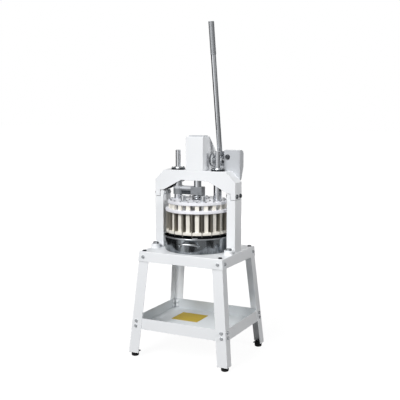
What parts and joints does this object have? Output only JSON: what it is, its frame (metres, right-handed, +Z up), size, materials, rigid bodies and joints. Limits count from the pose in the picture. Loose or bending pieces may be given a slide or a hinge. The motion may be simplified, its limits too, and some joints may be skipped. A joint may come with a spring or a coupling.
{
  "type": "dough divider",
  "caption": "Hand-operated dough divider on a splayed stand: a long lever drives a round knife and plunger head down on guide rods into a loose steel pan.",
  "frame": {"origin": "centre of the stand's footprint on the floor, on the axis of the pan and the head", "axes": "+Z up, -Y towards the operator, +X towards the lever side"},
  "size_m": [0.5262, 0.4424, 1.5954],
  "materials": {
    "white_enamel": "semi-gloss baked enamel",
    "grey_enamel": "semi-gloss baked enamel",
    "black_rubber": "moulded, matt",
    "zinc_plated_steel": "zinc plated, satin",
    "black_oxide_steel": "black oxide, oiled",
    "gold_anodised_aluminium": "anodised, satin",
    "hard_chrome": "ground and hard chromed",
    "knurled_steel": "knurled, bright",
    "bronze": "sintered, oiled",
    "machined_steel": "machined, greased",
    "spring_steel": "drawn, oiled",
    "cast_steel": "cast and machined",
    "cast_aluminium": "turned, satin",
    "stainless_steel": "spun and polished",
    "cream_nylon": "machined nylon"
  },
  "bodies": {
    "stand": {"table_top": "white_enamel", "front_left_leg": "white_enamel", "front_right_leg": "white_enamel", "rear_left_leg": "white_enamel", "rear_right_leg": "white_enamel", "foot_pads": "black_rubber", "foot_studs": "zinc_plated_steel", "shelf_tray": "white_enamel", "blank_plate": "gold_anodised_aluminium", "frame_bolts": "zinc_plated_steel", "frame_nuts": "white_enamel", "corner_bolts": "black_oxide_steel", "left_upright": "white_enamel", "right_upright": "white_enamel", "upright_bolts": "zinc_plated_steel", "stop_posts": "white_enamel", "post_bolts": "zinc_plated_steel", "arch": "white_enamel", "arch_shims": "black_oxide_steel", "arch_bolts": "black_oxide_steel", "arch_nuts": "zinc_plated_steel", "tower": "white_enamel", "tower_cap": "grey_enamel", "cap_screws": "zinc_plated_steel", "left_shaft_bush": "bronze", "right_shaft_bush": "white_enamel", "guide_bushes": "black_oxide_steel", "ram_bush": "bronze", "spring_housing": "grey_enamel", "housing_cover": "grey_enamel", "housing_bolts": "zinc_plated_steel", "front_bolt": "black_oxide_steel", "return_spring": "spring_steel"},
    "lever": {"lever_shaft": "machined_steel", "gear_sector": "machined_steel", "gear_key": "machined_steel", "lever_hub": "hard_chrome", "hub_screw": "black_oxide_steel", "lever_rod": "hard_chrome", "lever_grip": "knurled_steel", "retaining_ring": "black_oxide_steel"},
    "cutting_head": {"ram_rack": "machined_steel", "ram_nut": "zinc_plated_steel", "crosshead": "cast_steel", "crosshead_screws": "zinc_plated_steel", "left_guide_rod": "hard_chrome", "right_guide_rod": "hard_chrome", "knife_carrier": "cast_aluminium", "inner_knife_ring": "stainless_steel", "outer_knife_ring": "stainless_steel", "radial_knives": "stainless_steel", "guide_posts": "hard_chrome", "press_spring": "spring_steel"},
    "press_head": {"press_plate": "cast_aluminium", "inner_plungers": "cream_nylon", "middle_plungers": "cream_nylon", "outer_plungers": "cream_nylon", "plunger_screws": "stainless_steel"},
    "loose_pan": {"pan": "stainless_steel", "pan_handle": "stainless_steel"}
  },
  "joints": [
    {"name": "lever_swing", "type": "hinge", "parent": "stand", "child": "lever", "pos_m": [0.094, 0.057, 0.949], "axis": [1, 0, 0], "range_deg": [0, 93], "stiffness_Nm_per_rad": 6, "springref_deg": -137.51},
    {"name": "head_travel", "type": "slide", "parent": "stand", "child": "cutting_head", "axis": [0, 0, -1], "range_m": [0, 0.078]},
    {"name": "press_plate_slide", "type": "slide", "parent": "cutting_head", "child": "press_head", "axis": [0, 0, 1], "range_m": [0, 0.018], "stiffness_N_per_m": 20000, "springref_m": -0.005, "deforming": ["press_spring"]},
    {"name": "pan_slide", "type": "slide", "parent": "stand", "child": "loose_pan", "axis": [0, -1, 0], "range_m": [0, 0.335]}
  ],
  "couplings": [
    {"joint": "head_travel", "follows": "lever_swing", "m_per_rad": 0.048}
  ]
}
